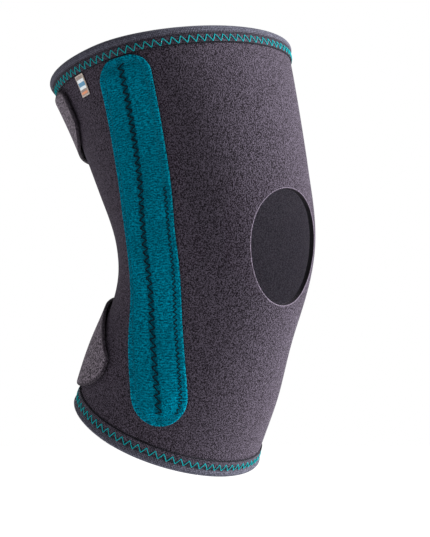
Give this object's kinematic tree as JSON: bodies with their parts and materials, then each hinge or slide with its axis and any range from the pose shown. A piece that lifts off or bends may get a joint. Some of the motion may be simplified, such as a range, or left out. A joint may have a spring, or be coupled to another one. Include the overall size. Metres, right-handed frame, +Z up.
{
  "type": "knee brace",
  "caption": "Soft wrap-round knee brace, bent as worn, with a kneecap hole, padded side strips and closing tabs behind.",
  "frame": {"origin": "middle of the knee, on the middle line of the leg that wears the brace", "axes": "+Z up, the kneecap hole faces -Y, the outer side of a right leg is -X"},
  "size_m": [0.1378, 0.1548, 0.2438],
  "materials": {
    "foam_cloth": "brushed dark grey cloth on foam",
    "binding_tape": "smooth grey knitted tape with teal stitching",
    "teal_velour": "ribbed teal velour",
    "loop_cloth": "coarse grey loop cloth",
    "hook_tape": "fine plastic hooks",
    "woven_ribbon": "woven ribbon with plain bands"
  },
  "bodies": {
    "root": {"body_panel": "foam_cloth", "top_binding": "binding_tape", "bottom_binding": "binding_tape", "lateral_stay_cover": "teal_velour", "medial_stay_cover": "teal_velour", "upper_closure_tab": "loop_cloth", "lower_closure_tab": "loop_cloth", "upper_hook_patch": "hook_tape", "lower_hook_patch": "hook_tape", "woven_label": "woven_ribbon"}
  },
  "joints": []
}
